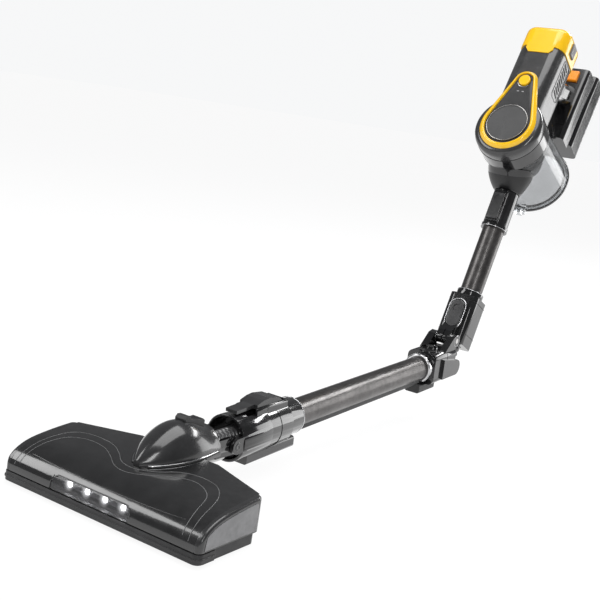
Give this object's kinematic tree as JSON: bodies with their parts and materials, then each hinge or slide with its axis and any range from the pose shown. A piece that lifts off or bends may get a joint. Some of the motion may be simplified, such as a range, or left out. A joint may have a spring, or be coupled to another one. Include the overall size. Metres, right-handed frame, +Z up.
{
  "type": "cordless stick vacuum cleaner",
  "caption": "Cordless stick vacuum: wide floor head with lamps and brush roll, folding wand with a knee hinge, and a hand unit with clear dust cup, yellow trim, grip and slide-off battery.",
  "frame": {"origin": "on the floor under the middle of the floor head's sole, on the rear glide strip", "axes": "+X to the right seen from in front of the head, +Y from the head back along the wand, +Z up"},
  "size_m": [0.252, 1.053, 0.5655],
  "materials": {
    "gloss_black": "polished moulded ABS",
    "dark_grey": "polished moulded ABS, dark grey",
    "satin_black": "fine moulded grain",
    "soft_grey": "soft moulded elastomer",
    "smoked_window": "smoked clear plastic",
    "clear_cup": "clear grey polycarbonate",
    "yellow": "polished moulded plastic",
    "orange": "polished moulded plastic",
    "plate_grey": "fine matt texture",
    "tube_metal": "satin anodised tube",
    "steel": "turned steel",
    "bright_ring": "bright plated ring",
    "bristle": "nylon tufts",
    "roll_grey": "moulded core",
    "tyre_rubber": "moulded rubber",
    "hose_rubber": "ribbed flexible hose",
    "filter_white": "pleated filter paper",
    "filter_foam": "open foam",
    "lamp": "white lamp bodies",
    "board_green": "coated circuit board",
    "cell_wrap": "heat-shrink sleeve"
  },
  "bodies": {
    "head": {"head_base": "satin_black", "head_cover": "gloss_black", "bumper": "soft_grey", "side_covers": "dark_grey", "led_window": "smoked_window", "led_lights": "lamp", "neck_dome": "dark_grey", "park_clip": "satin_black", "brush_motor": "steel", "drive_belt": "tyre_rubber", "wheel_axles": "steel"},
    "motor_pulley": {"motor_pulley": "steel"},
    "brush": {"brush_roll": "roll_grey", "brush_bristles": "bristle"},
    "wheel_left": {"rear_wheel_left": "tyre_rubber"},
    "wheel_right": {"rear_wheel_right": "tyre_rubber"},
    "barrel": {"swivel_barrel": "gloss_black", "pivot_pins": "steel", "neck_hose": "hose_rubber"},
    "connector": {"wand_connector": "gloss_black", "contact_box": "dark_grey"},
    "latch": {"connector_latch": "dark_grey"},
    "lower_wand": {"lower_tube": "tube_metal", "cable_channel": "satin_black", "lower_collar": "bright_ring", "knee_lower": "gloss_black", "hinge_pin": "steel", "knee_hose": "hose_rubber"},
    "upper_wand": {"knee_upper": "gloss_black", "upper_tube": "tube_metal", "upper_collar": "gloss_black", "wand_coupler": "gloss_black"},
    "knee_release": {"knee_release": "dark_grey"},
    "coupler_release": {"coupler_release": "dark_grey"},
    "hand": {"main_frame": "gloss_black", "body_housing": "dark_grey", "vent_grilles": "dark_grey", "trim_ring": "yellow", "top_panel": "gloss_black", "round_plate": "plate_grey", "circuit_board": "board_green", "vacuum_motor": "steel", "pre_filter": "filter_foam", "cyclone_cone": "satin_black", "grip": "gloss_black", "battery_dock": "gloss_black"},
    "power_button": {"power_button": "yellow"},
    "impeller": {"impeller": "steel"},
    "cap": {"filter_cap": "yellow", "hepa_filter": "filter_white"},
    "cap_latch_left": {"cap_latch_left": "dark_grey"},
    "cap_latch_right": {"cap_latch_right": "dark_grey"},
    "trigger": {"trigger": "dark_grey"},
    "battery_release": {"battery_release": "orange"},
    "battery": {"battery_pack": "gloss_black", "battery_cells": "cell_wrap"},
    "cup": {"dust_cup": "clear_cup"},
    "door": {"cup_door": "clear_cup", "door_seal": "satin_black"},
    "door_latch": {"door_latch": "satin_black"}
  },
  "joints": [
    {"name": "wand_pull", "type": "slide", "parent": "hand", "child": "upper_wand", "axis": [0, -0.4083, -0.9128], "range_m": [0, 0.036]},
    {"name": "knee_fold", "type": "hinge", "parent": "upper_wand", "child": "lower_wand", "pos_m": [0, 0.61722, 0.10971], "axis": [1, 0, 0], "range_deg": [-27.5, 62.5], "deforming": ["knee_hose"]},
    {"name": "connector_pull", "type": "slide", "parent": "lower_wand", "child": "connector", "axis": [0, -0.9982, -0.0593], "range_m": [0, 0.05]},
    {"name": "wand_pitch", "type": "hinge", "parent": "connector", "child": "barrel", "pos_m": [0, 0.118, 0.048], "axis": [1, 0, 0], "range_deg": [-70, 3.4], "deforming": ["neck_hose"]},
    {"name": "neck_roll", "type": "hinge", "parent": "barrel", "child": "head", "pos_m": [0, 0.034, 0.048], "axis": [0, 1, 0], "range_deg": [-75, 75]},
    {"name": "brush_spin", "type": "hinge", "parent": "head", "child": "brush", "pos_m": [0, -0.02, 0.0185], "axis": [1, 0, 0], "continuous": true},
    {"name": "motor_spin", "type": "hinge", "parent": "head", "child": "motor_pulley", "pos_m": [0.1, 0.0125, 0.028], "axis": [1, 0, 0], "continuous": true},
    {"name": "wheel_left_spin", "type": "hinge", "parent": "head", "child": "wheel_left", "pos_m": [-0.055, 0.034, 0.011], "axis": [1, 0, 0], "continuous": true},
    {"name": "wheel_right_spin", "type": "hinge", "parent": "head", "child": "wheel_right", "pos_m": [0.055, 0.034, 0.011], "axis": [1, 0, 0], "continuous": true},
    {"name": "connector_latch_rock", "type": "hinge", "parent": "connector", "child": "latch", "pos_m": [0, 0.17638, 0.07701], "axis": [1, 0, 0], "range_deg": [-4, 0], "stiffness_Nm_per_rad": 0.8},
    {"name": "knee_release_press", "type": "slide", "parent": "upper_wand", "child": "knee_release", "axis": [0, 0.9128, -0.4083], "range_m": [0, 0.0025], "stiffness_N_per_m": 400},
    {"name": "coupler_release_press", "type": "slide", "parent": "upper_wand", "child": "coupler_release", "axis": [0, 0.9128, -0.4083], "range_m": [0, 0.0015], "stiffness_N_per_m": 400},
    {"name": "power_button_press", "type": "slide", "parent": "hand", "child": "power_button", "axis": [0, 0.866, -0.5], "range_m": [0, 0.0011], "stiffness_N_per_m": 500},
    {"name": "trigger_pull", "type": "slide", "parent": "hand", "child": "trigger", "axis": [0, 0.0599, 0.9982], "range_m": [0, 0.003], "stiffness_N_per_m": 400},
    {"name": "battery_release_press", "type": "slide", "parent": "hand", "child": "battery_release", "axis": [0, 0.866, -0.5], "range_m": [0, 0.002], "stiffness_N_per_m": 400},
    {"name": "battery_slide", "type": "slide", "parent": "hand", "child": "battery", "axis": [0, 0.5, 0.866], "range_m": [0, 0.1]},
    {"name": "filter_cap_pull", "type": "slide", "parent": "hand", "child": "cap", "axis": [0, 0.5, 0.866], "range_m": [0, 0.06]},
    {"name": "cap_latch_left_press", "type": "slide", "parent": "cap", "child": "cap_latch_left", "axis": [1, 0, 0], "range_m": [0, 0.0012], "stiffness_N_per_m": 300},
    {"name": "cap_latch_right_press", "type": "slide", "parent": "cap", "child": "cap_latch_right", "axis": [-1, 0, 0], "range_m": [0, 0.0012], "stiffness_N_per_m": 300},
    {"name": "dust_cup_pull", "type": "slide", "parent": "hand", "child": "cup", "axis": [0, 0.866, -0.5], "range_m": [0, 0.05]},
    {"name": "cup_door_open", "type": "hinge", "parent": "cup", "child": "door", "pos_m": [0, 0.79959, 0.2924], "axis": [1, 0, 0], "range_deg": [-90, 0]},
    {"name": "door_latch_rock", "type": "hinge", "parent": "cup", "child": "door_latch", "pos_m": [0, 0.85197, 0.39911], "axis": [1, 0, 0], "range_deg": [0, 4], "stiffness_Nm_per_rad": 0.3},
    {"name": "impeller_spin", "type": "hinge", "parent": "hand", "child": "impeller", "pos_m": [0, 0.7726, 0.46964], "axis": [0, 0.5, 0.866], "continuous": true}
  ],
  "couplings": [
    {"joint": "motor_spin", "follows": "brush_spin", "ratio": 1.5}
  ]
}
